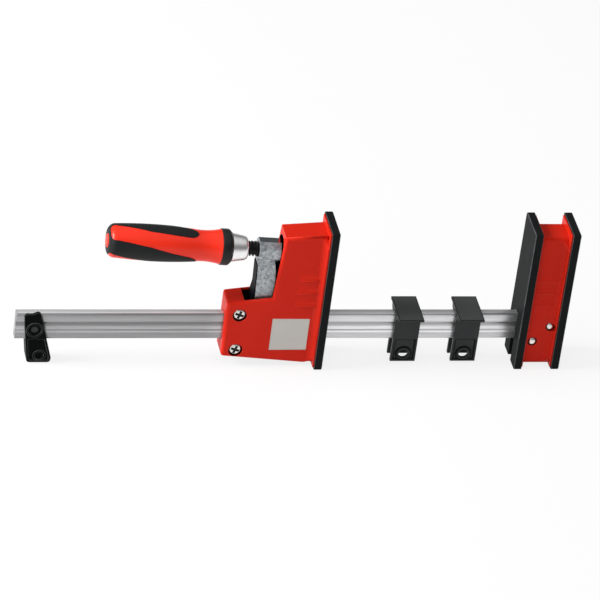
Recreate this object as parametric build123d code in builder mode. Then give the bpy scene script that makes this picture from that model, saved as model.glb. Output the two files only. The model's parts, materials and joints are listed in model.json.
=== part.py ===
from build123d import *
import os
from math import cos, radians, sin

# Parallel clamp. X runs along the rail towards the fixed jaw, Y across the jaws, Z up.
# The origin is on the plane the jaws stand on, under the middle of the overall length.

# Driving dimensions, in millimetres and degrees
OVERALL_LENGTH = 504.0
THROAT = 95.0
OPENING = 179.5
RAIL_HEIGHT = 27.0
RAIL_THICK = 9.0
PAD_WIDTH = 40.0
PAD_HEIGHT = 146.0
PAD_THICK = 7.5
FIXED_HEAD_LENGTH = 42.8
DRIVE_TILT = 3.58
RELEASE_CANT = 1.5
THREAD_RADIUS = 7.0

# Clearances
RAIL_GAP = 0.4
RUNNING_GAP = 0.06

# Places along the rail
BACK_FACE = OVERALL_LENGTH / 2
FIXED_FACE = BACK_FACE - FIXED_HEAD_LENGTH
SLIDING_FACE = FIXED_FACE - OPENING
RAIL_LEFT = -OVERALL_LENGTH / 2
RAIL_Z = PAD_HEIGHT - THROAT - RAIL_HEIGHT / 2
RAIL_TOP = RAIL_Z + RAIL_HEIGHT / 2
RAIL_BOTTOM = RAIL_Z - RAIL_HEIGHT / 2

# Jaw pads and the housing flanges they snap over
PAD_CORNER = 1.5
PAD_EDGE = 0.8
RIM = 1.9
RIM_GAP = 0.1
POCKET_DEPTH = 1.8
FLANGE_THICK = 3.0
FLANGE_INSET = PAD_THICK - POCKET_DEPTH
FORK_HALF = 5.0
FORK_TOP = RAIL_TOP + 0.8

# Rail section
RAIL_CORNER = 2.0
GROOVE_MOUTH = 9.6
GROOVE_FLOOR = 6.0
GROOVE_DEPTH = 0.9

# Fixed head
FRONT_FLANGE = FIXED_FACE + FLANGE_INSET
BACK_FLANGE = BACK_FACE - FLANGE_INSET - FLANGE_THICK
CORE_FRONT = FRONT_FLANGE + FLANGE_THICK
CORE_BACK = BACK_FLANGE + FLANGE_THICK
FIXED_HALF = 13.0
FIXED_LOW = 2.4
FIXED_TOP = 139.5
CORE_HALF = 8.4
CORE_LOW = 8.0
CORE_TOP = 134.0

# Rivets through the fixed head, each in a shallow round recess
RIVET_PLACES = [(239.4, 42.8), (224.7, 26.6)]
RIVET_RADIUS = 2.5
RIVET_HEAD = 3.5
RIVET_CROWN = 1.9
RIVET_DOME = 1.9
RIVET_RECESS = 4.5
RIVET_SINK = 0.9

# Finger ledges on both heads: three ribs that swell downwards, each ending in a step below
LEDGE_STEPS = [92.4, 79.0, 65.6]
LEDGE_RISE = 12.6
LEDGE_PROUD = 1.7
LEDGE_ROOT = 1.0
LEDGE_FADE = 0.2
LEDGE_LEFT = [0.0, -1.2, -1.9]

# Concave sweep from a housing's cheek out to the edge of its flange, with sloped ends
FLANGE_HALF = PAD_WIDTH / 2 - RIM - RIM_GAP
FLARE_RUN = 7.5
FLARE_SLOPE = 8.0
BODY_FILLET = 2.8
TOP_FILLET = 4.5

# Sliding housing outline in XZ
SLIDING_FLANGE = SLIDING_FACE - FLANGE_INSET - FLANGE_THICK
CORE_FACE = SLIDING_FLANGE + FLANGE_THICK
TAIL_LEFT = -63.7
TAIL_LOW = 10.4
TAIL_TOP = 67.5
TOWER_FOOT = (-22.8, 72.6)
TOWER_SHOULDER = (-17.8, 137.0)
TOWER_TOP = 139.5
HEAD_LOW = 2.7
TAIL_HALF = 12.8
TOWER_HALF = 13.6
TAIL_CORNER = 2.5
SHOULDER_CORNER = 8.0

# Hollow of the sliding housing
HOLLOW_HALF = 10.0
TAIL_WALL = 3.0
FLOOR_WALL = 2.4
BACK_WALL = 9.0
SLOT_SPRING = 121.9
SLOT_DEPTH = 14.0
TAIL_OPENING = (-48.0, -22.0)
HOLLOW_CEILING = 133.5

# Rear guide, its screws and their nuts
GUIDE_HALF = HOLLOW_HALF - 0.1
GUIDE_LEFT = TAIL_LEFT + TAIL_WALL + 0.2
GUIDE_RIGHT = -47.3
GUIDE_LOW = 13.8
GUIDE_TOP = 63.6
SCREW_X = -51.1
SCREW_Z = [54.8, 17.4]
SCREW_RADIUS = 2.5
SCREW_HEAD = 5.8
HEAD_POCKET = 6.5
HEAD_HEIGHT = 2.0
HEAD_EDGE = 0.6
DRIVE_CROSS = (6.4, 1.5)
CROSS_DEPTH = 1.1
NUT_RADIUS = 5.6

# Plain plate on the near side
PLATE_CENTRE = (-3.3, 34.6)
PLATE_SIZE = (34.5, 34.0)
PLATE_FLOOR = -12.4
PLATE_THICK = 0.6
PLATE_CUT = 3.0

# Steel channel behind the sliding pad, solid at the top where it takes the spindle thrust
CHANNEL_WEB = 4.0
CHANNEL_FLANGE = 2.4
CHANNEL_LEFT = 4.0
CHANNEL_LOW = 7.5
CHANNEL_TOP = 132.5
BLOCK_LEFT = 12.0
BLOCK_LOW = 98.0

# Drive line: the spindle leans up towards its handle from the centre of the thrust ball.
# Places on it are distances from that centre.
BALL_X = 6.5
BALL_Z = 115.3
BALL_RADIUS = 6.5
SEAT_RADIUS = 8.8
SEAT = (-10.0, 2.0)
NECK_RADIUS = 5.9
CAP_BACK = -2.0
JOURNAL_RADIUS = 4.5
JOURNAL_TIP = -1.6
RING_AT = (4.0, 5.2)
RING_DEPTH = 0.7
THREAD_START = 9.4
THREAD_LEAD = 1.0
BOSS = (26.5, 46.2)
FERRULE = (56.3, 71.1)
FERRULE_NOSE = 9.6
FERRULE_STEP = (1.6, 11.2)
FERRULE_ROOT = 13.2
SHOULDER = FERRULE[0] + 5.0
TANG_RADIUS = 6.0
TANG_END = 172.0

# Collar and handle: it narrows at the neck, swells in the palm and has a rounded butt
COLLAR_END = 81.1
COLLAR_NOSE = 14.2
COLLAR_SLOPE = 2.8
COLLAR_RADIUS = 16.5
COLLAR_EDGE = 0.7
HANDLE_NECK = [(COLLAR_END, 15.9), (96.5, 14.0), (102.5, 14.29)]
HANDLE_PALM_END = (177.2, 15.2)
HANDLE_END = 183.2
BUTT_RADIUS = 9.2
BUTT_CAP = [(6.4, 0.0), (5.4, 0.8), (3.0, 1.4)]

# Three soft lobes wind round the handle and join in a ring at the butt, which leaves hard
# islands with rounded ends between them.
# Each section is a distance from the ball, a centre angle and a width in degrees.
LOBE_COUNT = 3
LOBE_DEPTH = 1.6
LOBE_REACH = 30.0
LOBE_SECTIONS = [
    (182.0, 68, 84), (178.0, 65, 58), (146.0, 42, 68), (120.0, 26, 54), (107.0, 19, 44), (103.0, 16, 16),
]
BUTT_RING = (182.0, 183.2)

# Locking arm outlines in XZ, from the foot up, and the window that it straddles the rail with
ARM_HALF = 8.0
ARM_LOW = 12.6
ARM_BACK = [(-37.8, ARM_LOW), (-38.2, 69.8), (-39.2, 112.0)]
ARM_FRONT = [(-24.8, 112.0), (-22.2, 98.0), (-23.2, 69.8), (-23.4, ARM_LOW)]
BOSS_WIDTH = 18.6
BOSS_HEIGHT = 20.0
BOSS_CHAMFER = 5.2
WINDOW_X = -30.6
WINDOW_LENGTH = 30.0
WINDOW_HALF = 5.0
WINDOW_LOW = RAIL_BOTTOM - 1.9
WINDOW_TOP = RAIL_TOP + 1.3

# Leaf spring flat on the back of the arm, bowed away from it above its foot
SPRING_HALF = 7.2
SPRING_THICK = 0.7
SPRING_FLAT = [(-39.4, 104.0), (-38.96, 84.0)]
SPRING_BOW = [(-40.6, 70.5), (-39.6, 62.0)]
SPRING_FOOT_WAY = (0.3, -1.0)

# Rail supports: saddles with wide wings swept down into the legs and a hole through both legs
SUPPORT_CENTRES = [106.8, 163.2]
SUPPORT_WIDTH = 23.2
SUPPORT_TOP = 54.3
SUPPORT_LOW = 1.8
WING_THICK = 2.2
WING_SWEEP = 5.0
LEG_OUT = 8.0
LEG_IN = RAIL_THICK / 2 + RAIL_GAP
HOLE_Z = 9.7
HOLE_RADIUS = 4.4
HOLE_RING = 7.4
PANEL_TOP = 25.4
PANEL_RIM = 2.0
PANEL_DEPTH = 1.2

# End clip: leans on its peg, open at the top where the rail lies in it
CLIP_HALF = 7.4
CLIP_LOW = 1.0
CLIP_OUTLINE = [
    (-245.4, 52.8), (-238.0, 52.0), (-231.2, 55.4), (-217.8, 6.0),
    (-218.2, CLIP_LOW), (-239.6, CLIP_LOW), (-244.1, 38.1),
]
CLIP_CORNER = 3.0
CLIP_BOSS = (-234.9, 35.6)
CLIP_BOSS_RADIUS = 7.7
CLIP_LOW_BOSS = (-228.6, 7.6)
CLIP_LOW_RADIUS = 5.8
CLIP_RING_WALL = 1.6
CLIP_RING_PROUD = 0.6
CLIP_DISH = 1.0
CLIP_RIDGE = 25.8
CLIP_RIM = 2.2
CLIP_FLOOR_GAP = 1.2
CLIP_FAR_WALL = RAIL_TOP - 5.0
PEG_RADIUS = 3.0

# Long enough to cut right through any piece
THROUGH = 60.0

drive_out = Vector(-cos(radians(DRIVE_TILT)), 0, sin(radians(DRIVE_TILT)))
drive_origin = Vector(BALL_X, 0, BALL_Z)
drive_axis = Axis(drive_origin, drive_out)
drive_section = Plane(origin=drive_origin, x_dir=drive_out, z_dir=(0, -1, 0))
drive_across = Plane(origin=drive_origin, x_dir=(0, 1, 0), z_dir=drive_out)


def turned(points):
    """Solid of revolution about the drive line; points are distance from the ball, radius."""
    with BuildSketch(drive_section) as section:
        Polygon(*points)
    revolve(section.sketch, axis=drive_axis)


def handle_profile(depth):
    """Arcs of the neck, the palm and the butt, sunk below the surface; returns the last one."""
    neck = ThreePointArc(*[(distance, radius - depth) for distance, radius in HANDLE_NECK])
    palm_end = (HANDLE_PALM_END[0], HANDLE_PALM_END[1] - depth)
    palm = TangentArc(neck @ 1, palm_end, tangent=neck % 1)
    return TangentArc(palm @ 1, (HANDLE_END - depth, BUTT_RADIUS), tangent=palm % 1)


def pad_body(outer_x, inner_x, forked):
    """Jaw pad: a tray that snaps over a flange, forked over the rail where it passes."""
    towards_outer = 1 if outer_x > inner_x else -1
    with BuildSketch(Plane.YZ.offset(inner_x)) as outline:
        with Locations((0, PAD_HEIGHT / 2)):
            RectangleRounded(PAD_WIDTH, PAD_HEIGHT, PAD_CORNER)
    extrude(outline.sketch, amount=towards_outer * PAD_THICK)
    chamfer(faces().sort_by(Axis.X)[-1 if towards_outer > 0 else 0].edges(), PAD_EDGE)
    with BuildSketch(Plane.YZ.offset(inner_x)) as pocket:
        with Locations((0, PAD_HEIGHT / 2)):
            Rectangle(PAD_WIDTH - 2 * RIM, PAD_HEIGHT - 2 * RIM)
    extrude(pocket.sketch, amount=towards_outer * POCKET_DEPTH, mode=Mode.SUBTRACT)
    if forked:
        with BuildSketch(Plane.YZ.offset(inner_x)) as fork:
            with Locations((0, FORK_TOP / 2)):
                Rectangle(2 * FORK_HALF, FORK_TOP)
        extrude(fork.sketch, amount=towards_outer * PAD_THICK, mode=Mode.SUBTRACT)


def flange(low_x):
    """Flange of a housing, which the pad rim closes round."""
    edge = RIM + RIM_GAP
    with BuildSketch(Plane.YZ.offset(low_x)) as plate:
        with Locations((0, PAD_HEIGHT / 2)):
            Rectangle(PAD_WIDTH - 2 * edge, PAD_HEIGHT - 2 * edge)
    extrude(plate.sketch, amount=FLANGE_THICK)


def flare(flange_x, half, low_z, top_z):
    """Concave sweep on both cheeks, out to the edge of the flange on their right; returns it."""
    rise = FLANGE_HALF - half
    radius = (FLARE_RUN ** 2 + rise ** 2) / (2 * rise)
    with BuildPart() as sweeps:
        with BuildSketch(Plane.XY.offset(low_z)):
            for side in (-1, 1):
                with Locations((flange_x - FLARE_RUN / 2, side * (half + rise / 2))):
                    Rectangle(FLARE_RUN, rise)
                with Locations((flange_x - FLARE_RUN, side * (half + radius))):
                    Circle(radius, mode=Mode.SUBTRACT)
        extrude(amount=top_z - low_z)
        with BuildSketch(Plane.YZ.offset(flange_x - FLARE_RUN)):
            for side in (-1, 1):
                for end, slope in ((low_z, FLARE_SLOPE), (top_z, -FLARE_SLOPE)):
                    Polygon((side * half, end), (side * FLANGE_HALF, end), (side * FLANGE_HALF, end + slope))
        extrude(amount=FLARE_RUN, mode=Mode.SUBTRACT)
    return sweeps.part


def finger_ledges(lefts, right, half):
    """Three swelling ribs on both cheeks, from each left end to the right flange."""
    root = half - LEDGE_ROOT
    for step, left in zip(LEDGE_STEPS, lefts):
        with BuildSketch(Plane.YZ.offset(left)) as rib:
            for side in (-1, 1):
                crest = (side * (half + LEDGE_PROUD), step)
                fade = (side * (half - LEDGE_FADE), step + LEDGE_RISE)
                with BuildLine():
                    TangentArc(fade, crest, tangent=(0, -1))
                    Polyline(crest, (side * root, step), (side * root, fade[1]), fade)
                make_face()
        extrude(rib.sketch, amount=right - left)


def cross_hole(x, z, radius, low_y=-THROUGH, high_y=THROUGH):
    """Round hole along Y."""
    with BuildSketch(Plane.XZ.offset(-low_y)) as ring:
        with Locations((x, z)):
            Circle(radius)
    extrude(ring.sketch, amount=low_y - high_y, mode=Mode.SUBTRACT)


# Rail: drawn bar with a shallow groove in each face
with BuildPart() as rail:
    with BuildSketch(Plane.YZ.offset(RAIL_LEFT)):
        with Locations((0, RAIL_Z)):
            RectangleRounded(RAIL_THICK, RAIL_HEIGHT, RAIL_CORNER)
        for side in (-1, 1):
            surface = side * RAIL_THICK / 2
            floor = surface - side * GROOVE_DEPTH
            Polygon(
                (surface, RAIL_Z - GROOVE_MOUTH / 2), (surface, RAIL_Z + GROOVE_MOUTH / 2),
                (floor, RAIL_Z + GROOVE_FLOOR / 2), (floor, RAIL_Z - GROOVE_FLOOR / 2),
                mode=Mode.SUBTRACT,
            )
    extrude(amount=CORE_BACK - RAIL_LEFT)
    for x, z in RIVET_PLACES:
        cross_hole(x, z, RIVET_RADIUS)
    cross_hole(*CLIP_BOSS, PEG_RADIUS)

# Fixed head
with BuildPart() as fixed_front_pad:
    pad_body(FIXED_FACE, FIXED_FACE + PAD_THICK, forked=True)

with BuildPart() as fixed_back_pad:
    pad_body(BACK_FACE, BACK_FACE - PAD_THICK, forked=False)

with BuildPart() as fixed_housing:
    with BuildSketch(Plane.YZ.offset(CORE_FRONT)):
        with Locations((0, (FIXED_LOW + FIXED_TOP) / 2)):
            Rectangle(2 * FIXED_HALF, FIXED_TOP - FIXED_LOW)
        fillet(vertices().group_by(Axis.Y)[0], BODY_FILLET)
        fillet(vertices().group_by(Axis.Y)[-1], TOP_FILLET)
    extrude(amount=BACK_FLANGE - CORE_FRONT)
    finger_ledges([CORE_FRONT] * len(LEDGE_STEPS), BACK_FLANGE - FLARE_RUN / 2, FIXED_HALF)
    add(flare(BACK_FLANGE, FIXED_HALF, FIXED_LOW + BODY_FILLET, FIXED_TOP - TOP_FILLET))
    flange(FRONT_FLANGE)
    flange(BACK_FLANGE)
    with BuildSketch(Plane.YZ.offset(CORE_FRONT)):
        with Locations((0, (CORE_LOW + CORE_TOP) / 2)):
            Rectangle(2 * CORE_HALF, CORE_TOP - CORE_LOW)
    extrude(amount=CORE_BACK - CORE_FRONT, mode=Mode.SUBTRACT)
    with BuildSketch(Plane.YZ.offset(FRONT_FLANGE)):
        with Locations((0, RAIL_Z)):
            Rectangle(RAIL_THICK, RAIL_HEIGHT)
    extrude(amount=FLANGE_THICK, mode=Mode.SUBTRACT)
    for x, z in RIVET_PLACES:
        cross_hole(x, z, RIVET_RADIUS)
        for side in (-1, 1):
            with BuildSketch(Plane.XZ.offset(side * (FIXED_HALF - RIVET_SINK))):
                with Locations((x, z)):
                    Circle(RIVET_RECESS)
            extrude(amount=side * FIXED_HALF, mode=Mode.SUBTRACT)

with BuildPart() as fixed_core:
    with BuildSketch(Plane.YZ.offset(CORE_FRONT)):
        with Locations((0, (CORE_LOW + CORE_TOP) / 2)):
            Rectangle(2 * CORE_HALF, CORE_TOP - CORE_LOW)
        with Locations((0, RAIL_Z)):
            Rectangle(RAIL_THICK, RAIL_HEIGHT, mode=Mode.SUBTRACT)
    extrude(amount=CORE_BACK - CORE_FRONT)
    for x, z in RIVET_PLACES:
        cross_hole(x, z, RIVET_RADIUS)

with BuildPart() as fixed_rivets:
    seat = FIXED_HALF - RIVET_SINK
    crown = seat + RIVET_DOME
    for x, z in RIVET_PLACES:
        with BuildSketch(Plane(origin=(x, 0, z), x_dir=(1, 0, 0), z_dir=(0, 0, 1))):
            Polygon(
                (0, crown), (RIVET_CROWN, crown), (RIVET_HEAD, seat), (RIVET_RADIUS, seat),
                (RIVET_RADIUS, -seat), (RIVET_HEAD, -seat), (RIVET_CROWN, -crown), (0, -crown),
            )
        revolve(axis=Axis((x, 0, z), (0, 1, 0)))

# Sliding head
with BuildPart() as sliding_pad:
    pad_body(SLIDING_FACE, SLIDING_FACE - PAD_THICK, forked=True)

with BuildPart() as sliding_housing:
    with BuildSketch(Plane.XZ) as side_outline:
        Polygon(
            (TAIL_LEFT, TAIL_LOW), (TAIL_LEFT, TAIL_TOP), TOWER_FOOT, TOWER_SHOULDER,
            (SLIDING_FLANGE, TOWER_TOP), (SLIDING_FLANGE, HEAD_LOW),
        )
        corner = side_outline.vertices().sort_by_distance(Vector(TOWER_SHOULDER[0], 0, TOWER_SHOULDER[1]))
        fillet(corner[0], SHOULDER_CORNER)
        fillet(side_outline.vertices().group_by(Axis.X)[0], TAIL_CORNER)
    extrude(amount=PAD_WIDTH / 2, both=True)
    with BuildSketch(Plane.XY):
        Polygon(
            (TAIL_LEFT, -TAIL_HALF), (SLIDING_FLANGE, -TOWER_HALF),
            (SLIDING_FLANGE, TOWER_HALF), (TAIL_LEFT, TAIL_HALF),
        )
    extrude(amount=PAD_HEIGHT, mode=Mode.INTERSECT)
    cheeks = faces().sort_by(Axis.Y)
    rims = cheeks[0].edges() + cheeks[-1].edges()
    fillet(rims.filter_by(lambda e: e.center().X < SLIDING_FLANGE - RIM), BODY_FILLET)
    finger_ledges(LEDGE_LEFT, SLIDING_FLANGE - FLARE_RUN / 2, TOWER_HALF - LEDGE_FADE)
    add(flare(SLIDING_FLANGE, TOWER_HALF - LEDGE_FADE, HEAD_LOW + BODY_FILLET, TOWER_TOP - BODY_FILLET))
    flange(SLIDING_FLANGE)
    with BuildSketch(Plane.XZ):
        inner_x = TOWER_FOOT[0] + BACK_WALL
        Polygon(
            (TAIL_LEFT + TAIL_WALL, TAIL_LOW + FLOOR_WALL), (TAIL_LEFT + TAIL_WALL, TAIL_TOP - TAIL_WALL),
            (inner_x, TOWER_FOOT[1] - TAIL_WALL), (inner_x, HOLLOW_CEILING),
            (CORE_FACE, HOLLOW_CEILING), (CORE_FACE, HEAD_LOW + TAIL_WALL),
        )
    extrude(amount=HOLLOW_HALF, both=True, mode=Mode.SUBTRACT)
    with BuildSketch(Plane.YZ.offset(TOWER_FOOT[0] - 2)):
        with BuildLine():
            foot_z = TOWER_FOOT[1] - 2 * TAIL_WALL
            ThreePointArc(
                (HOLLOW_HALF, SLOT_SPRING), (0, SLOT_SPRING + HOLLOW_HALF), (-HOLLOW_HALF, SLOT_SPRING),
            )
            Polyline(
                (-HOLLOW_HALF, SLOT_SPRING), (-HOLLOW_HALF, foot_z),
                (HOLLOW_HALF, foot_z), (HOLLOW_HALF, SLOT_SPRING),
            )
        make_face()
    extrude(amount=SLOT_DEPTH, mode=Mode.SUBTRACT)
    with BuildSketch(Plane.XY.offset(TAIL_TOP - 2 * TAIL_WALL)):
        with Locations((sum(TAIL_OPENING) / 2, 0)):
            Rectangle(TAIL_OPENING[1] - TAIL_OPENING[0], 2 * HOLLOW_HALF)
    extrude(amount=4 * TAIL_WALL, mode=Mode.SUBTRACT)
    with BuildSketch(Plane.YZ.offset(TAIL_LEFT)):
        with Locations((0, RAIL_Z)):
            Rectangle(RAIL_THICK + 2 * RAIL_GAP, RAIL_HEIGHT + 2 * RAIL_GAP)
    extrude(amount=TAIL_WALL, mode=Mode.SUBTRACT)
    for z in SCREW_Z:
        cross_hole(SCREW_X, z, HEAD_POCKET)
    with BuildSketch(Plane.XZ.offset(-PLATE_FLOOR)):
        with Locations(PLATE_CENTRE):
            Rectangle(*PLATE_SIZE)
    extrude(amount=PLATE_CUT, mode=Mode.SUBTRACT)

with BuildPart() as face_plate:
    with BuildSketch(Plane.XZ.offset(-PLATE_FLOOR)):
        with Locations(PLATE_CENTRE):
            Rectangle(*PLATE_SIZE)
    extrude(amount=PLATE_THICK)

with BuildPart() as rear_guide:
    with BuildSketch(Plane.YZ.offset(GUIDE_LEFT)):
        with Locations((0, (GUIDE_LOW + GUIDE_TOP) / 2)):
            Rectangle(2 * GUIDE_HALF, GUIDE_TOP - GUIDE_LOW)
        with Locations((0, RAIL_Z)):
            Rectangle(RAIL_THICK + 2 * RAIL_GAP, RAIL_HEIGHT + 2 * RAIL_GAP, mode=Mode.SUBTRACT)
    extrude(amount=GUIDE_RIGHT - GUIDE_LEFT)
    for z in SCREW_Z:
        cross_hole(SCREW_X, z, SCREW_RADIUS)

with BuildPart() as guide_screws:
    for z in SCREW_Z:
        with BuildSketch(Plane.XZ.offset(-GUIDE_HALF - HEAD_HEIGHT)):
            with Locations((SCREW_X, z)):
                Circle(SCREW_RADIUS)
        extrude(amount=2 * GUIDE_HALF + HEAD_HEIGHT)
        with BuildSketch(Plane.XZ.offset(GUIDE_HALF)):
            with Locations((SCREW_X, z)):
                Circle(SCREW_HEAD)
        extrude(amount=HEAD_HEIGHT)
    chamfer(faces().group_by(Axis.Y)[0].edges(), HEAD_EDGE)
    with BuildSketch(Plane.XZ.offset(GUIDE_HALF + HEAD_HEIGHT)):
        for z in SCREW_Z:
            with Locations((SCREW_X, z)):
                Rectangle(*DRIVE_CROSS)
                Rectangle(*DRIVE_CROSS, rotation=90)
    extrude(amount=-CROSS_DEPTH, mode=Mode.SUBTRACT)

with BuildPart() as guide_nuts:
    for z in SCREW_Z:
        with BuildSketch(Plane.XZ.offset(-GUIDE_HALF - HEAD_HEIGHT)):
            with Locations((SCREW_X, z)):
                RegularPolygon(NUT_RADIUS, 6)
                Circle(SCREW_RADIUS, mode=Mode.SUBTRACT)
        extrude(amount=HEAD_HEIGHT)

with BuildPart() as jaw_core:
    depth = CORE_FACE - CHANNEL_LEFT
    middle = (CHANNEL_LEFT + CORE_FACE) / 2
    with BuildSketch(Plane.XY.offset(CHANNEL_LOW)):
        with Locations((middle, 0)):
            Rectangle(depth, 2 * GUIDE_HALF)
        with Locations((middle - CHANNEL_WEB, 0)):
            Rectangle(depth, 2 * (GUIDE_HALF - CHANNEL_FLANGE), mode=Mode.SUBTRACT)
    extrude(amount=CHANNEL_TOP - CHANNEL_LOW)
    with BuildSketch(Plane.YZ.offset(BLOCK_LEFT)):
        with Locations((0, (BLOCK_LOW + CHANNEL_TOP) / 2)):
            Rectangle(2 * GUIDE_HALF, CHANNEL_TOP - BLOCK_LOW)
    extrude(amount=CORE_FACE - BLOCK_LEFT)
    with BuildSketch(Plane.YZ.offset(CHANNEL_LEFT)):
        with Locations((0, (CHANNEL_LOW + FORK_TOP) / 2)):
            Rectangle(2 * FORK_HALF, FORK_TOP - CHANNEL_LOW)
    extrude(amount=depth, mode=Mode.SUBTRACT)
    with BuildSketch(drive_across.offset(SEAT[0])):
        Circle(SEAT_RADIUS)
    extrude(amount=2 * BACK_WALL, mode=Mode.SUBTRACT)

with BuildPart() as thrust_seat:
    turned([(SEAT[0], 0), (SEAT[1], 0), (SEAT[1], SEAT_RADIUS), (SEAT[0], SEAT_RADIUS)])
    with Locations(drive_origin):
        Sphere(BALL_RADIUS + RUNNING_GAP, mode=Mode.SUBTRACT)

with BuildPart() as thrust_cap:
    with Locations(drive_origin):
        Sphere(BALL_RADIUS)
    neck_end = THREAD_START - 0.2
    turned([(0, 0), (neck_end, 0), (neck_end, NECK_RADIUS), (0, NECK_RADIUS)])
    with BuildSketch(drive_across.offset(CAP_BACK)):
        Circle(JOURNAL_RADIUS + RUNNING_GAP)
    extrude(amount=THREAD_START - CAP_BACK, mode=Mode.SUBTRACT)

# Spindle with its retaining ring, ferrule, collar and handle
with BuildPart() as spindle:
    turned([
        (JOURNAL_TIP, 0), (JOURNAL_TIP, JOURNAL_RADIUS), (RING_AT[0], JOURNAL_RADIUS),
        (RING_AT[0], JOURNAL_RADIUS - RING_DEPTH), (RING_AT[1], JOURNAL_RADIUS - RING_DEPTH),
        (RING_AT[1], JOURNAL_RADIUS), (THREAD_START, JOURNAL_RADIUS),
        (THREAD_START, THREAD_RADIUS - THREAD_LEAD), (THREAD_START + THREAD_LEAD, THREAD_RADIUS),
        (SHOULDER, THREAD_RADIUS), (SHOULDER, TANG_RADIUS), (TANG_END, TANG_RADIUS), (TANG_END, 0),
    ])

with BuildPart() as retaining_ring:
    turned([
        (RING_AT[0], JOURNAL_RADIUS - RING_DEPTH), (RING_AT[0], JOURNAL_RADIUS),
        (RING_AT[1], JOURNAL_RADIUS), (RING_AT[1], JOURNAL_RADIUS - RING_DEPTH),
    ])

with BuildPart() as ferrule:
    turned([
        (FERRULE[0], THREAD_RADIUS), (FERRULE[0], FERRULE_NOSE),
        (FERRULE[0] + FERRULE_STEP[0], FERRULE_STEP[1]), (FERRULE[1], FERRULE_ROOT),
        (FERRULE[1], TANG_RADIUS), (SHOULDER, TANG_RADIUS), (SHOULDER, THREAD_RADIUS),
    ])

with BuildPart() as grip_collar:
    turned([
        (FERRULE[1], TANG_RADIUS), (FERRULE[1], COLLAR_NOSE), (FERRULE[1] + COLLAR_SLOPE, COLLAR_RADIUS),
        (COLLAR_END - COLLAR_EDGE, COLLAR_RADIUS), (COLLAR_END, COLLAR_RADIUS - COLLAR_EDGE),
        (COLLAR_END, TANG_RADIUS),
    ])

with BuildPart() as lobe_wedges:
    for lobe in range(LOBE_COUNT):
        for near, far in zip(LOBE_SECTIONS, LOBE_SECTIONS[1:]):
            for distance, turn, width in (near, far):
                centre = turn + lobe * 360 / LOBE_COUNT
                rays = [radians(centre + side * width / 2) for side in (-1, 0, 1)]
                with BuildSketch(drive_across.offset(distance)):
                    Polygon((0, 0), *[(LOBE_REACH * cos(a), LOBE_REACH * sin(a)) for a in rays])
            loft(ruled=True)
    with BuildSketch(drive_across.offset(BUTT_RING[0])):
        Circle(LOBE_REACH)
    extrude(amount=BUTT_RING[1] - BUTT_RING[0])

with BuildPart() as handle_grips:
    with BuildSketch(drive_section):
        with BuildLine():
            outer_butt = handle_profile(0)
            inner_butt = handle_profile(LOBE_DEPTH)
            Line(outer_butt @ 1, inner_butt @ 1)
            Line((COLLAR_END, HANDLE_NECK[0][1] - LOBE_DEPTH), (COLLAR_END, HANDLE_NECK[0][1]))
        make_face()
    revolve(axis=drive_axis)
    add(lobe_wedges.part, mode=Mode.INTERSECT)

with BuildPart() as handle_core:
    with BuildSketch(drive_section):
        with BuildLine():
            butt = handle_profile(0)
            cap = [(HANDLE_END + proud, radius) for radius, proud in BUTT_CAP]
            Polyline(butt @ 1, *cap, (cap[-1][0], 0), (COLLAR_END, 0), HANDLE_NECK[0])
        make_face()
    revolve(axis=drive_axis)
    with BuildSketch(drive_across.offset(COLLAR_END)):
        Circle(TANG_RADIUS)
    extrude(amount=TANG_END - COLLAR_END, mode=Mode.SUBTRACT)
    add(handle_grips.part, mode=Mode.SUBTRACT)

# Locking arm: straddles the rail, its boss is the nut of the spindle
with BuildPart() as locking_arm:
    with BuildSketch(Plane.XZ):
        with BuildLine():
            Polyline(*ARM_BACK, ARM_FRONT[0])
            ThreePointArc(*ARM_FRONT[:3])
            Polyline(*ARM_FRONT[2:], ARM_BACK[0])
        make_face()
    extrude(amount=ARM_HALF, both=True)
    with BuildSketch(drive_across.offset(BOSS[0])):
        Rectangle(BOSS_WIDTH, BOSS_HEIGHT)
        chamfer(vertices(), BOSS_CHAMFER)
    extrude(amount=BOSS[1] - BOSS[0])
    with BuildSketch(drive_across.offset(BOSS[0])):
        Circle(THREAD_RADIUS + RUNNING_GAP)
    extrude(amount=BOSS[1] - BOSS[0], mode=Mode.SUBTRACT)
    with Locations(Location((WINDOW_X, 0, (WINDOW_LOW + WINDOW_TOP) / 2), (0, -RELEASE_CANT, 0))):
        Box(WINDOW_LENGTH, 2 * WINDOW_HALF, WINDOW_TOP - WINDOW_LOW, mode=Mode.SUBTRACT)

# Leaf spring on the back of the arm
with BuildPart() as arm_spring:
    with BuildSketch(Plane.XZ):
        with BuildLine() as leaf:
            flat = Line(*SPRING_FLAT)
            Spline(flat @ 1, *SPRING_BOW, tangents=(flat % 1, SPRING_FOOT_WAY))
        trace(leaf.line, SPRING_THICK)
    extrude(amount=SPRING_HALF, both=True)
    add(locking_arm.part, mode=Mode.SUBTRACT)

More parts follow.
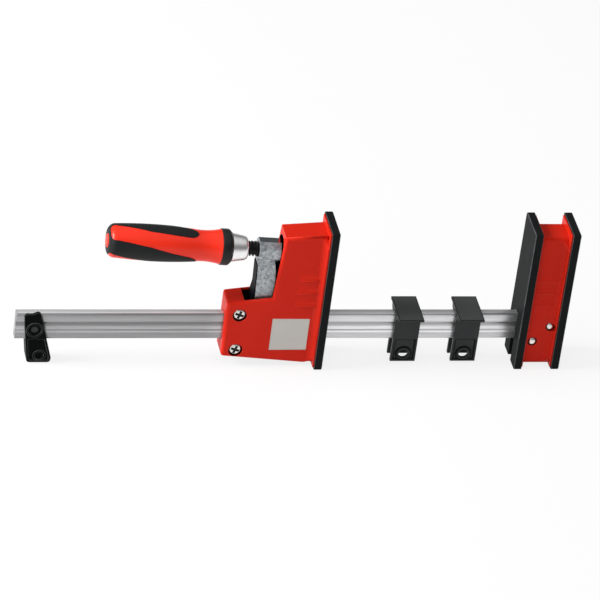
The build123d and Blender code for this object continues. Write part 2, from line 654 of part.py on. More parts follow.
# Rail supports
supports = []
for number, centre in enumerate(SUPPORT_CENTRES, start=1):
    with BuildPart() as rail_support:
        left = centre - SUPPORT_WIDTH / 2
        under_wing = SUPPORT_TOP - WING_THICK
        saddle_top = RAIL_TOP + RAIL_GAP
        with BuildSketch(Plane.YZ.offset(left)):
            with Locations((0, (SUPPORT_LOW + SUPPORT_TOP) / 2)):
                Rectangle(2 * LEG_OUT, SUPPORT_TOP - SUPPORT_LOW)
            with Locations((0, (SUPPORT_LOW + saddle_top) / 2)):
                Rectangle(2 * LEG_IN, saddle_top - SUPPORT_LOW, mode=Mode.SUBTRACT)
            with Locations((0, SUPPORT_TOP - WING_THICK / 2)):
                Rectangle(PAD_WIDTH, WING_THICK)
            for side in (-1, 1):
                sweep_end = (side * (LEG_OUT + WING_SWEEP), under_wing)
                sweep_foot = (side * LEG_OUT, under_wing - WING_SWEEP)
                with BuildLine():
                    Polyline(sweep_foot, (side * LEG_OUT, under_wing), sweep_end)
                    RadiusArc(sweep_end, sweep_foot, side * WING_SWEEP)
                make_face()
        extrude(amount=SUPPORT_WIDTH)
        for side in (-1, 1):
            with BuildSketch(Plane.XZ.offset(-side * LEG_OUT)):
                with Locations((centre, (SUPPORT_LOW + PANEL_RIM + PANEL_TOP) / 2)):
                    Rectangle(SUPPORT_WIDTH - 2 * PANEL_RIM, PANEL_TOP - SUPPORT_LOW - PANEL_RIM)
                with Locations((centre, HOLE_Z)):
                    Circle(HOLE_RING, mode=Mode.SUBTRACT)
            extrude(amount=side * PANEL_DEPTH, mode=Mode.SUBTRACT)
        cross_hole(centre, HOLE_Z, HOLE_RADIUS)
    rail_support.part.label = f"rail_support_{number}"
    supports.append(rail_support.part)

# End clip and its peg
with BuildPart() as end_clip:
    with BuildSketch(Plane.XZ) as clip_outline:
        Polygon(*CLIP_OUTLINE)
        fillet(clip_outline.vertices().group_by(Axis.Z)[0], CLIP_CORNER)
    extrude(amount=CLIP_HALF, both=True)
    middle_x = CLIP_BOSS[0]
    with Locations((middle_x, 0, RAIL_BOTTOM - CLIP_FLOOR_GAP)):
        Box(THROUGH, RAIL_THICK + 2 * RAIL_GAP, THROUGH,
            align=(Align.CENTER, Align.CENTER, Align.MIN), mode=Mode.SUBTRACT)
    with Locations((middle_x, 0, CLIP_FAR_WALL)):
        Box(THROUGH, CLIP_HALF, THROUGH, align=(Align.CENTER, Align.MIN, Align.MIN), mode=Mode.SUBTRACT)
    for side in (-1, 1):
        with BuildSketch(Plane.XZ.offset(side * CLIP_HALF)) as panel:
            Polygon(*CLIP_OUTLINE)
            fillet(panel.vertices().group_by(Axis.Z)[0], CLIP_CORNER)
            offset(amount=-CLIP_RIM)
            with Locations((middle_x, CLIP_RIDGE)):
                Rectangle(THROUGH, THROUGH, align=(Align.CENTER, Align.MIN), mode=Mode.SUBTRACT)
        extrude(amount=-side * PANEL_DEPTH, mode=Mode.SUBTRACT)
    bosses = ((CLIP_BOSS, CLIP_BOSS_RADIUS, CLIP_HALF), (CLIP_LOW_BOSS, CLIP_LOW_RADIUS, CLIP_HALF - PANEL_DEPTH))
    for place, radius, base in bosses:
        with BuildSketch(Plane.XZ.offset(base)):
            with Locations(place):
                Circle(radius)
        extrude(amount=CLIP_RING_PROUD)
        with BuildSketch(Plane.XZ.offset(base + CLIP_RING_PROUD)):
            with Locations(place):
                Circle(radius - CLIP_RING_WALL)
        extrude(amount=-CLIP_DISH - CLIP_RING_PROUD, mode=Mode.SUBTRACT)
    cross_hole(*CLIP_BOSS, PEG_RADIUS)

with BuildPart() as end_clip_peg:
    with BuildSketch(Plane.XZ.offset(-CLIP_HALF)):
        with Locations(CLIP_BOSS):
            Circle(PEG_RADIUS)
    extrude(amount=2 * CLIP_HALF - CLIP_DISH)

pieces = {
    "rail": rail, "fixed_housing": fixed_housing, "fixed_core": fixed_core,
    "fixed_front_pad": fixed_front_pad, "fixed_back_pad": fixed_back_pad, "fixed_rivets": fixed_rivets,
    "end_clip": end_clip, "end_clip_peg": end_clip_peg, "sliding_housing": sliding_housing,
    "sliding_pad": sliding_pad, "jaw_core": jaw_core, "thrust_seat": thrust_seat,
    "rear_guide": rear_guide, "guide_screws": guide_screws, "guide_nuts": guide_nuts,
    "face_plate": face_plate, "locking_arm": locking_arm, "arm_spring": arm_spring,
    "thrust_cap": thrust_cap, "spindle": spindle, "retaining_ring": retaining_ring,
    "ferrule": ferrule, "grip_collar": grip_collar, "handle_core": handle_core,
    "handle_grips": handle_grips,
}
os.makedirs("parts", exist_ok=True)
for label, piece in pieces.items():
    piece.part.label = label
    export_step(piece.part, f"parts/{label}.step")
for support in supports:
    export_step(support, f"parts/{support.label}.step")
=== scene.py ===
import bpy
import json
from math import cos, pi, radians, sin, sqrt
from mathutils import Matrix, Vector


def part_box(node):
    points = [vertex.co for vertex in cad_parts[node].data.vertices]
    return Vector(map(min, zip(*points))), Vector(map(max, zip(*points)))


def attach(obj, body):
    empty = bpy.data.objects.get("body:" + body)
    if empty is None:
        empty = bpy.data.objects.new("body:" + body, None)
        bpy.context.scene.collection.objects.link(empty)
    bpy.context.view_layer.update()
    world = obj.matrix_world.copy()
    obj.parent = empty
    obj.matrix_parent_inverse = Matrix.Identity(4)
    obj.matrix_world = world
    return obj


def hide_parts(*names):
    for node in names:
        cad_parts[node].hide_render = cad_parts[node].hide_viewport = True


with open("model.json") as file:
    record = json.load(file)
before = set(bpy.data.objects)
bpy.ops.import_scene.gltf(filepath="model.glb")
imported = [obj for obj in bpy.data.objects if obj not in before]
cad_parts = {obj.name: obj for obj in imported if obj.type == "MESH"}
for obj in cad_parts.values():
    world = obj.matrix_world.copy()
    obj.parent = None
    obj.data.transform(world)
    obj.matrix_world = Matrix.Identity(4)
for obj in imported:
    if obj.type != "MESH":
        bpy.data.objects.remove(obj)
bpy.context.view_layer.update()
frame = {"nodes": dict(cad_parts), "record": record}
nodes = frame["nodes"]
bpy.ops.object.select_all(action="DESELECT")

# Sizes are in millimetres and times MM where they are used, unless a heading says metres
MM = 0.001

# Points of a mesh that are closer than this are merged, in metres
MERGE_WITHIN = 0.002 * MM

# The photograph's viewpoint, in metres, with the lens in millimetres
CAMERA_PLACE = Vector((-0.8721, -3.4041, 2.3162))
CAMERA_FORWARD = Vector((0.2102, 0.8153, -0.5396))
CAMERA_UP = Vector((-0.0005, 0.552, 0.8338))
CAMERA_LENS = 277.65

# Studio, in metres: the floor, the sky's tone by height, and each lamp's place, size and power
FLOOR_SIZE = 30
FLOOR_TONE = 0.92
FLOOR_PALENESS = 0.82
SKY_STRENGTH = 0.75
SKY_TONES = [(0.0, 0.9), (0.10, 0.55), (0.30, 0.16), (0.62, 0.20), (0.74, 0.9), (1.0, 1.0)]
LAMP_AIM = (-0.1, 0, 0.05)
LAMPS = {
    "side_lamp": ((-2.2, 0.0, 1.35), 0.9, 80),
    "front_lamp": ((-1.6, -2.2, 1.5), 1.2, 12),
}

# The drive line leans up from the thrust ball towards the handle.
# Places on it are distances from that ball.
BALL = Vector((6.5, 0, 115.3)) * MM
DRIVE_TILT = radians(3.58)
DRIVE_OUT = Vector((-cos(DRIVE_TILT), 0, sin(DRIVE_TILT)))
DRIVE_DOWN = Vector((-sin(DRIVE_TILT), 0, -cos(DRIVE_TILT)))
DRIVE_FRAME = Matrix.Translation(BALL) @ Matrix(((0, 1, 0), DRIVE_DOWN, DRIVE_OUT)).transposed().to_4x4()

# Spindle: its turned steps, as distance and radius, and the ridge of its thread
THREAD_PITCH = 3.0
THREAD_START = 10.4
THREAD_END = 58.0
THREAD_ROOT = 5.6
THREAD_CREST = 7.0
CREST_HALF = 0.45
FOOT_HALF = 1.25
FOOT_SUNK = 0.3
SPINDLE_STEPS = [
    (-1.6, 3.8), (-1.0, 4.5), (4.0, 4.5), (4.0, 3.8), (5.2, 3.8), (5.2, 4.5), (9.4, 4.5), (9.4, THREAD_ROOT),
    (61.3, THREAD_ROOT), (61.3, 6.0), (172.0, 6.0),
]

# Ferrule and collar, as distance and radius
FERRULE_STEPS = [
    (56.3, 7.1), (56.3, 9.0), (56.6, 9.6), (57.3, 10.3), (58.3, 10.9), (59.6, 11.3), (64.0, 12.0),
    (68.0, 12.7), (70.2, 13.1), (71.1, 13.2), (71.1, 7.1), (56.3, 7.1),
]
COLLAR_STEPS = [
    (71.1, 6.1), (71.1, 13.6), (71.4, 14.1), (73.3, 15.9), (73.9, 16.3), (74.8, 16.5), (80.2, 16.5),
    (80.8, 16.3), (81.1, 15.8), (81.1, 6.1), (71.1, 6.1),
]

# Handle profile: an arc at the neck, a long arc over the palm and a rounded butt
HANDLE_START = 81.1
HANDLE_LEAD = [(HANDLE_START, 15.2), (HANDLE_START + 0.2, 15.9)]
HANDLE_STEP = 2.5
HANDLE_STEPS = range(1, 39)
NECK_AT = 96.5
NECK_RADIUS = 14.0
NECK_ARC = 63.36
PALM_START = 102.5
PALM_TOP = 145.36
PALM_RADIUS = 16.32
PALM_ARC = 452.95
BUTT_START = 177.2
BUTT_EDGE = 9.2
BUTT_ARC = 6.0
BUTT_TURNS = range(0, 91, 9)
BUTT_END = BUTT_START + BUTT_ARC

# Hard cap in the middle of the butt: radius, height above the butt's flat end
CAP_DOME = [(6.4, 0.0), (6.3, 0.5), (5.9, 0.85), (5.2, 1.05), (4.2, 1.25), (3.0, 1.4)]

# Soft lobes: turns and half widths are in degrees, by distance; the band's turns are its arc over the butt
LOBES = 3
LOBE_START = 103.0
LOBE_END = 183.1
LOBE_TIP = 8.0
LOBE_FLARE = 3.0
LOBE_PROUD = 0.35
LOBE_DEEP = 1.4
LOBE_EDGE = 0.3
LOBE_TURNS = [(103.0, 16), (120.0, 26), (146.0, 42), (178.0, 65), (183.0, 68)]
LOBE_HALVES = [(103.0, 21), (120.0, 27), (146.0, 34), (172.0, 30.5), (183.0, 28)]
BAND_TURNS = range(62, 91, 4)
BAND_LIP = 0.4
BAND_GAP = 0.05

# Rail: heights of the groove's lines are from the rail's middle
RAIL_TOP = 51.0
RAIL_BOTTOM = 24.0
RAIL_MIDDLE = (RAIL_TOP + RAIL_BOTTOM) / 2
RAIL_CORNER = 2.0
RAIL_END_EDGE = 0.3
GROOVE_MOUTH = 4.8
GROOVE_FLOOR = 3.0
GROOVE_DEPTH = 0.9
GROOVE_ROUND = 0.7

# Painted shade covers the walls inside this hollow
# Hollow of the sliding housing: half its width, its end in the tail, the roof over the tail as slope and
# height, the upper chamber as start and top, and the slot in the back as start and centre of its arch
HOLLOW_HALF = 10.15
HOLLOW_END = -60.6
TAIL_ROOF = (0.109, 72.6)
CHAMBER = (-11.5, 134.4)
BACK_SLOT = (-26.0, 122.0)

# Fasteners: places as x and z, seats as y, recesses with painted shade as radius and reach from the middle
SCREW_PLACES = [(-51.1, 54.8), (-51.1, 17.4)]
SCREW_SEAT = -9.9
SCREW_RECESS = (6.6, 12.4)
SCREW_STEPS = [
    (-22.0, 2.5), (-0.6, 2.5), (-0.6, 4.6), (0.0, 5.5), (0.9, 5.6), (1.5, 5.2), (1.9, 4.4), (2.1, 3.4),
]
CROSS_TURNS = (20, 110)
CROSS_SIZE = Vector((8.2, 3.6, 2.4))
CROSS_MIDDLE = 2.4
CROSS_REACH = 4.15
CROSS_DEPTHS = (0.3, 1.85)
RIVET_PLACES = [(239.4, 42.8), (224.7, 26.6)]
RIVET_SEAT = -12.1
RIVET_SPAN = 24.2
RIVET_SHANK = 2.5
RIVET_RECESS = (4.6, 12.7)
RIVET_DOME = [(0.0, 3.5), (0.35, 3.4), (0.8, 3.05), (1.2, 2.5), (1.5, 1.8), (1.65, 0.9)]

# Rail supports: half sizes of the wing top with painted light inside its rim, and the sunk panel with
# painted shade in its corners and round its bore
SUPPORT_CENTRES = (106.8, 163.2)
SUPPORT_TOP = 54.3
WING_ALONG = 10.5
WING_ACROSS = 18.9
PANEL_SIDE = 9.6
PANEL_TOP = 25.4
PANEL_FLOOR = 6.8
PANEL_SHADE = 1.1
BORE_HEIGHT = 9.7
BORE_RING = (6.1, 7.7)

# How far a painted mask reaches past the edge of its face, under its face, and past the solid
MASK_HAIR = 0.05
MASK_SKIN = 0.2
MASK_PAST = 1.0

# Nodes that are dressed with softened edges, and how wide those are
SOFTENED = {
    "fixed_housing": 0.45,
    "sliding_housing": 0.45,
    "locking_arm": 0.9,
    "end_clip": 0.35,
    "rail_support_1": 0.35,
    "rail_support_2": 0.35,
    "face_plate": 0.2,
    "fixed_front_pad": 1.0,
    "fixed_back_pad": 1.0,
    "sliding_pad": 1.0,
}
PADS = ("fixed_front_pad", "fixed_back_pad", "sliding_pad")
BOSS_TOP_FROM = 120.0

# How far the gloss of every finish spreads round its roughness
GLOSS_SPREAD = 0.08

# Zinc patches: how many in a metre, and how far their borders wander
SPANGLE_SCALE = 420.0
SPANGLE_WARP = 4.0

# How far a face's normal lies along an axis: flat on it, or on an edge between two sides
FACING = 0.9
SLANTED = (0.3, 0.95)

# Colours
RED = (0.60, 0.016, 0.005)
HANDLE_RED = (0.86, 0.028, 0.009)
# Lighter red of the housings' rounded edges: rubbed wear and painted highlight
EDGE_WEAR_AND_HIGHLIGHT_RED = (0.80, 0.06, 0.035)
# Painted shade in the recesses round the screws and rivets
RECESS_SHADE = (0.05, 0.004, 0.002)
# Painted shade inside the sliding housing and its slot
INSIDE_SHADE = (0.006, 0.005, 0.005)
BLACK = (0.010, 0.0112, 0.0115)
DEEP_BLACK = (0.0015, 0.002, 0.002)
# Lighter black of the pads' edges and bevels: rubbed wear and painted highlight
EDGE_WEAR_AND_HIGHLIGHT_BLACK = (0.035, 0.038, 0.039)
PAD_BEVEL_WEAR_AND_HIGHLIGHT = (0.07, 0.075, 0.076)
SUPPORT_BLACK = (0.036, 0.0385, 0.039)
# Painted light on the supports' wing tops
WING_TOP_LIGHT = (0.068, 0.071, 0.071)
# Lighter edges of the end clip: rubbed wear and painted highlight
CLIP_EDGE_WEAR_AND_HIGHLIGHT = (0.11, 0.12, 0.12)
ZINC_DARK = (0.17, 0.195, 0.215)
ZINC_LIGHT = (0.52, 0.55, 0.565)

# Bands of painted reflection and shade on the rail: height, brightness; its sides are painted darker towards
# the free end, up to a place along it
RAIL_REFLECTION_BANDS = [
    (24.0, 0.50), (26.0, 0.64), (30.6, 0.60), (31.8, 0.95), (34.0, 0.95), (36.8, 0.84), (38.6, 0.48),
    (41.4, 0.40), (42.6, 0.56), (43.6, 0.78), (46.8, 0.72), (49.4, 0.62), (50.4, 0.62), (50.85, 0.40),
    (51.0, 1.0),
]
END_SHADE = 0.5
END_SHADE_FROM = -80.0
END_SHADE_TO = 0.0
TOP_FACE = 50.9


def between(table, place):
    """Straight-line value between the rows of a table."""
    for (low, first), (high, last) in zip(table, table[1:]):
        if place <= high:
            return first + (last - first) * (place - low) / (high - low)
    return table[-1][1]


def handle_radius(distance):
    """Radius of the handle's surface at a distance from the ball."""
    if distance < PALM_START:
        return NECK_RADIUS + NECK_ARC - sqrt(NECK_ARC ** 2 - (distance - NECK_AT) ** 2)
    if distance < BUTT_START:
        return PALM_RADIUS - PALM_ARC + sqrt(PALM_ARC ** 2 - (distance - PALM_TOP) ** 2)
    return BUTT_EDGE + sqrt(max(BUTT_ARC ** 2 - (distance - BUTT_START) ** 2, 0))


def butt_point(reach, turn):
    """Distance and radius of a point on the butt's arc, by its reach and its turn in degrees."""
    return BUTT_START + reach * sin(radians(turn)), BUTT_EDGE + reach * cos(radians(turn))


# Modelling moves

def clear_marks(piece):
    """Leave nothing in the piece's mesh selected, in object mode."""
    bpy.ops.object.mode_set(mode="OBJECT")
    for part in (piece.data.vertices, piece.data.edges, piece.data.polygons):
        for item in part:
            item.select = False


def pick(piece, wanted):
    """Select the mesh's faces whose middle and normal pass a test, in edit mode."""
    clear_marks(piece)
    for face in piece.data.polygons:
        face.select = wanted(face.center / MM, face.normal)
    bpy.ops.object.mode_set(mode="EDIT")
    bpy.ops.mesh.select_mode(type="FACE")


def pick_edges(piece, wanted):
    """Select the mesh's edges whose two ends pass a test, in edit mode."""
    clear_marks(piece)
    for edge in piece.data.edges:
        ends = [piece.data.vertices[index].co / MM for index in edge.vertices]
        edge.select = wanted(*ends)
    bpy.ops.object.mode_set(mode="EDIT")
    bpy.ops.mesh.select_mode(type="EDGE")


def only(piece):
    """Make one piece the selected and active one."""
    bpy.ops.object.select_all(action="DESELECT")
    piece.select_set(True)
    bpy.context.view_layer.objects.active = piece


def join(pieces):
    """Join pieces into the first of them."""
    only(pieces[0])
    for piece in pieces[1:]:
        piece.select_set(True)
    bpy.ops.object.join()
    return pieces[0]


def settle(piece, angle=30):
    """Put the piece's place into its mesh, mend its normals and smooth its shallow edges."""
    only(piece)
    bpy.ops.object.transform_apply(location=True, rotation=True, scale=True)
    bpy.ops.object.mode_set(mode="EDIT")
    bpy.ops.mesh.select_all(action="SELECT")
    bpy.ops.mesh.remove_doubles(threshold=MERGE_WITHIN)
    bpy.ops.mesh.normals_make_consistent(inside=False)
    bpy.ops.object.mode_set(mode="OBJECT")
    bpy.ops.object.shade_smooth_by_angle(angle=radians(angle))
    bpy.ops.object.select_all(action="DESELECT")


def apply(piece, kind, **settings):
    """Add a modifier with its settings and apply it."""
    only(piece)
    modifier = piece.modifiers.new(kind.lower(), kind)
    for key, value in settings.items():
        setattr(modifier, key, value)
    bpy.ops.object.modifier_apply(modifier=modifier.name)


def close_ends():
    """Fill the open rings of the mesh that is in edit mode."""
    bpy.ops.mesh.select_all(action="DESELECT")
    bpy.ops.mesh.select_non_manifold(extend=False)
    bpy.ops.mesh.fill_holes(sides=0)


def lathe(name, stations, place=DRIVE_FRAME, sides=96):
    """Turned piece: a circle extruded and resized ring by ring along its axis."""
    bpy.ops.mesh.primitive_circle_add(vertices=sides, radius=stations[0][1] * MM, location=(0, 0, 0))
    piece = bpy.context.object
    piece.name = name
    bpy.ops.object.mode_set(mode="EDIT")
    bpy.ops.mesh.select_mode(type="VERT")
    bpy.ops.mesh.select_all(action="SELECT")
    bpy.ops.transform.translate(value=(0, 0, stations[0][0] * MM))
    for (low, small), (high, large) in zip(stations, stations[1:]):
        bpy.ops.mesh.extrude_region_move(TRANSFORM_OT_translate={"value": (0, 0, (high - low) * MM)})
        bpy.ops.transform.resize(value=(large / small, large / small, 1), center_override=(0, 0, high * MM))
    bpy.ops.mesh.select_all(action="SELECT")
    bpy.ops.mesh.remove_doubles(threshold=MERGE_WITHIN)
    close_ends()
    bpy.ops.object.mode_set(mode="OBJECT")
    piece.matrix_world = place
    settle(piece)
    return piece


def soften(node, width):
    """Dressed copy of a solid: triangles merged into faces, edges rounded, flat faces shaded flat."""
    only(nodes[node])
    bpy.ops.object.duplicate()
    piece = bpy.context.object
    piece.name = node + "_dressed"
    for key in [key for key in piece.keys() if key.startswith("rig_")]:
        del piece[key]
    piece.parent = None
    bpy.ops.object.mode_set(mode="EDIT")
    bpy.ops.mesh.select_all(action="SELECT")
    bpy.ops.mesh.remove_doubles(threshold=MERGE_WITHIN)
    bpy.ops.mesh.dissolve_limited(angle_limit=radians(0.5))
    bpy.ops.object.mode_set(mode="OBJECT")
    apply(piece, "BEVEL", width=width * MM, segments=2, limit_method="ANGLE", angle_limit=radians(28),
          miter_outer="MITER_ARC", use_clamp_overlap=True)
    settle(piece, 35)
    apply(piece, "WEIGHTED_NORMAL", mode="FACE_AREA", weight=100, keep_sharp=True)
    return piece


# Nodes of the surface recipes

def shader_node(tree, kind, place, **settings):
    """A shader node with its sockets or settings given by name."""
    node = tree.nodes.new(kind)
    node.location = place
    for key, value in settings.items():
        socket = node.inputs.get(key.replace("_", " "))
        if socket is not None:
            socket.default_value = value
        else:
            setattr(node, key, value)
    return node


def math_node(tree, operation, first, second, place):
    """Math node with sockets or numbers as its two terms."""
    node = shader_node(tree, "ShaderNodeMath", place, operation=operation)
    for index, term in enumerate((first, second)):
        if hasattr(term, "is_output"):
            tree.links.new(term, node.inputs[index])
        else:
            node.inputs[index].default_value = term
    return node.outputs[0]


def both(tree, first, second, place):
    """1 where two masks are both 1."""
    return math_node(tree, "MULTIPLY", first, second, place)


def either(tree, first, second, place):
    """1 where either of two masks is 1."""
    return math_node(tree, "MAXIMUM", first, second, place)


def within(tree, value, low, high, level):
    """1 where a length lies between two limits."""
    above = math_node(tree, "GREATER_THAN", value, low * MM, (-2000, level))
    below = math_node(tree, "LESS_THAN", value, high * MM, (-2000, level - 150))
    return both(tree, above, below, (-1800, level))


def own_place(tree, place):
    """A point's place on its own piece."""
    return shader_node(tree, "ShaderNodeTexCoord", place).outputs["Object"]


def split_place(tree, point, place):
    """The x, y and z of a point's place."""
    split = shader_node(tree, "ShaderNodeSeparateXYZ", place)
    tree.links.new(point, split.inputs[0])
    return split.outputs


def fill_ramp(node, stops):
    """Give a colour ramp its stops, each a position and a colour."""
    elements = node.color_ramp.elements
    elements[0].position = stops[0][0]
    elements[1].position = stops[-1][0]
    for position, colour in stops[1:-1]:
        elements.new(position)
    for element, (position, colour) in zip(elements, stops):
        element.color = colour


def overlay(material, share, colour):
    """Lay a colour over the material's own where share is 1.

    Inputs 6 and 7 of a Mix node are its two colours, and output 2 is their mix.
    """
    tree = material.node_tree
    base = tree.nodes["Principled BSDF"].inputs["Base Color"]
    mix = shader_node(tree, "ShaderNodeMix", (-200, 400), data_type="RGBA")
    tree.links.new(share, mix.inputs["Factor"])
    tree.links.new(base.links[0].from_socket, mix.inputs[6])
    mix.inputs[7].default_value = colour + (1,)
    tree.links.new(mix.outputs[2], base)


# Surface recipes

def finish(name, colour, roughness, metallic=0.0, mottle=0.06, grain=(1, 1, 1), fine=900.0, bump=0.15,
           bump_distance=0.00005, specular=0.5, edge=0.0003, drift=45.0, edge_colour=None):
    """A surface with a slow drift of tone, a fine grain in its gloss, a shallow relief and soft edges.

    Where an edge colour is given, the rounded edges take it: rubbed wear with painted highlight where it is
    lighter, plain darkening where it is darker. Distances are in metres.
    """
    material = bpy.data.materials.new(name)
    material.use_nodes = True
    tree = material.node_tree
    shader = tree.nodes["Principled BSDF"]
    shader.inputs["Metallic"].default_value = metallic
    shader.inputs["Specular IOR Level"].default_value = specular
    point = own_place(tree, (-1200, 0))
    stretch = shader_node(tree, "ShaderNodeMapping", (-1000, 0), Scale=grain)
    tree.links.new(point, stretch.inputs["Vector"])
    slow = shader_node(tree, "ShaderNodeTexNoise", (-780, 220), Scale=drift, Detail=3.0)
    tree.links.new(point, slow.inputs["Vector"])
    speckle = shader_node(tree, "ShaderNodeTexNoise", (-780, -80), Scale=fine, Detail=4.0)
    tree.links.new(stretch.outputs["Vector"], speckle.inputs["Vector"])
    tone = shader_node(tree, "ShaderNodeValToRGB", (-540, 220))
    darker = tuple(part * (1 - mottle) for part in colour)
    lighter = tuple(min(part * (1 + mottle), 1) for part in colour)
    fill_ramp(tone, [(0.3, darker + (1,)), (0.7, lighter + (1,))])
    tree.links.new(slow.outputs["Fac"], tone.inputs["Fac"])
    tree.links.new(tone.outputs["Color"], shader.inputs["Base Color"])
    gloss = shader_node(tree, "ShaderNodeMapRange", (-540, -80), To_Min=roughness - GLOSS_SPREAD,
                        To_Max=roughness + GLOSS_SPREAD)
    tree.links.new(speckle.outputs["Fac"], gloss.inputs["Value"])
    tree.links.new(gloss.outputs["Result"], shader.inputs["Roughness"])
    relief = shader_node(tree, "ShaderNodeBump", (-300, -260), Strength=bump, Distance=bump_distance)
    tree.links.new(speckle.outputs["Fac"], relief.inputs["Height"])
    rounding = shader_node(tree, "ShaderNodeBevel", (-540, -420), samples=6, Radius=edge)
    tree.links.new(rounding.outputs["Normal"], relief.inputs["Normal"])
    tree.links.new(relief.outputs["Normal"], shader.inputs["Normal"])
    # Rounded edges take the edge colour: rubbed wear and painted highlight, or darkening
    if edge_colour:
        flat = shader_node(tree, "ShaderNodeNewGeometry", (-540, -640))
        turn = shader_node(tree, "ShaderNodeVectorMath", (-300, -560), operation="DOT_PRODUCT")
        tree.links.new(rounding.outputs["Normal"], turn.inputs[0])
        tree.links.new(flat.outputs["Normal"], turn.inputs[1])
        edge_share = shader_node(tree, "ShaderNodeMapRange", (-100, -560), From_Min=0.94, From_Max=0.998,
                             To_Min=1.0, To_Max=0.0)
        tree.links.new(turn.outputs["Value"], edge_share.inputs["Value"])
        overlay(material, edge_share.outputs["Result"], edge_colour)
    return material


def paint_inside_shade(material, colour):
    """Paint shade on the walls inside the sliding housing and its slot, found by their place in the hollow.
    """
    tree = material.node_tree
    x, y, z = split_place(tree, own_place(tree, (-2600, 700)), (-2400, 700))
    across = math_node(tree, "ABSOLUTE", y, 0, (-2200, 500))
    narrow = math_node(tree, "LESS_THAN", across, HOLLOW_HALF * MM, (-2000, 500))
    past_end = math_node(tree, "GREATER_THAN", x, HOLLOW_END * MM, (-2000, 700))
    slope, height = TAIL_ROOF
    rise = math_node(tree, "MULTIPLY", x, slope, (-2200, 900))
    roof = math_node(tree, "ADD", rise, height * MM, (-2000, 900))
    tail = math_node(tree, "LESS_THAN", z, roof, (-1800, 900))
    start, top = CHAMBER
    chamber = both(tree, math_node(tree, "GREATER_THAN", x, start * MM, (-2000, 1100)),
                   math_node(tree, "LESS_THAN", z, top * MM, (-2000, 1300)), (-1800, 1200))
    start, centre = BACK_SLOT
    squared = math_node(tree, "MULTIPLY", y, y, (-2200, 1500))
    left_over = math_node(tree, "SUBTRACT", (HOLLOW_HALF * MM) ** 2, squared, (-2000, 1500))
    arc = math_node(tree, "SQRT", math_node(tree, "MAXIMUM", left_over, 0, (-1800, 1500)), 0, (-1600, 1500))
    arch = math_node(tree, "ADD", arc, centre * MM, (-1400, 1500))
    slot = both(tree, math_node(tree, "GREATER_THAN", x, start * MM, (-1400, 1300)),
                math_node(tree, "LESS_THAN", z, arch, (-1200, 1500)), (-1000, 1400))
    open_room = either(tree, either(tree, tail, chamber, (-1400, 1000)), slot, (-1200, 1000))
    inside = both(tree, both(tree, narrow, past_end, (-1600, 600)), open_room, (-1000, 800))
    overlay(material, inside, colour)


def shade_recesses(material, recesses, colour):
    """Paint shade in round recesses that cross the jaws; each is an x, z, radius and reach from the middle.
    """
    tree = material.node_tree
    point = own_place(tree, (-2600, -700))
    y = split_place(tree, point, (-2400, -700))["Y"]
    across = math_node(tree, "ABSOLUTE", y, 0, (-2200, -500))
    share = 0
    for step, (x, z, radius, reach) in enumerate(recesses):
        level = -700 - 300 * step
        centre = shader_node(tree, "ShaderNodeCombineXYZ", (-2200, level), X=x * MM, Z=z * MM)
        tree.links.new(y, centre.inputs["Y"])
        gap = shader_node(tree, "ShaderNodeVectorMath", (-2000, level), operation="DISTANCE")
        tree.links.new(point, gap.inputs[0])
        tree.links.new(centre.outputs[0], gap.inputs[1])
        near = math_node(tree, "LESS_THAN", gap.outputs["Value"], radius * MM, (-1800, level))
        sunk = math_node(tree, "LESS_THAN", across, reach * MM, (-1800, level - 150))
        share = either(tree, both(tree, near, sunk, (-1600, level)), share, (-1400, level))
    overlay(material, share, colour)


def shade_supports(material, painted_top_light, colour):
    """Painted light on the wing tops inside a darker rim, and painted shade in the panels' corners and round
    the bores.
    """
    tree = material.node_tree
    x, y, z = split_place(tree, own_place(tree, (-3000, 700)), (-2800, 700))
    gaps = []
    for centre, level in zip(SUPPORT_CENTRES, (900, 750)):
        gap = math_node(tree, "SUBTRACT", x, centre * MM, (-2600, level))
        gaps.append(math_node(tree, "ABSOLUTE", gap, 0, (-2400, level)))
    along = math_node(tree, "MINIMUM", *gaps, (-2200, 800))
    across = math_node(tree, "ABSOLUTE", y, 0, (-2600, 600))
    wing = both(tree, within(tree, along, -MASK_PAST, WING_ALONG, 1700),
                within(tree, across, -MASK_PAST, WING_ACROSS, 1400), (-1600, 1600))
    top = within(tree, z, SUPPORT_TOP - MASK_SKIN, SUPPORT_TOP + MASK_PAST, 1100)
    overlay(material, both(tree, wing, top, (-1400, 1500)), painted_top_light)
    panel = both(tree, within(tree, along, -MASK_PAST, PANEL_SIDE + MASK_HAIR, 500),
                 within(tree, z, 0, PANEL_TOP + MASK_HAIR, 200), (-1600, 400))
    corner = either(tree, within(tree, along, PANEL_SIDE - PANEL_SHADE, PANEL_SIDE + MASK_PAST, -100),
                    within(tree, z, PANEL_TOP - PANEL_SHADE, PANEL_TOP + MASK_PAST, -400), (-1600, -200))
    floor_skin = within(tree, across, PANEL_FLOOR - MASK_SKIN, PANEL_FLOOR + MASK_PAST, -1000)
    sunk = both(tree, both(tree, panel, corner, (-1400, 200)), floor_skin, (-1200, 0))
    rise = math_node(tree, "SUBTRACT", z, BORE_HEIGHT * MM, (-2600, -700))
    squares = math_node(tree, "ADD", math_node(tree, "MULTIPLY", rise, rise, (-2400, -700)),
                        math_node(tree, "MULTIPLY", along, along, (-2400, -850)), (-2200, -750))
    reach = math_node(tree, "SQRT", squares, 0, (-2100, -750))
    ring = within(tree, reach, *BORE_RING, -700)
    overlay(material, either(tree, sunk, ring, (-1000, 0)), colour)


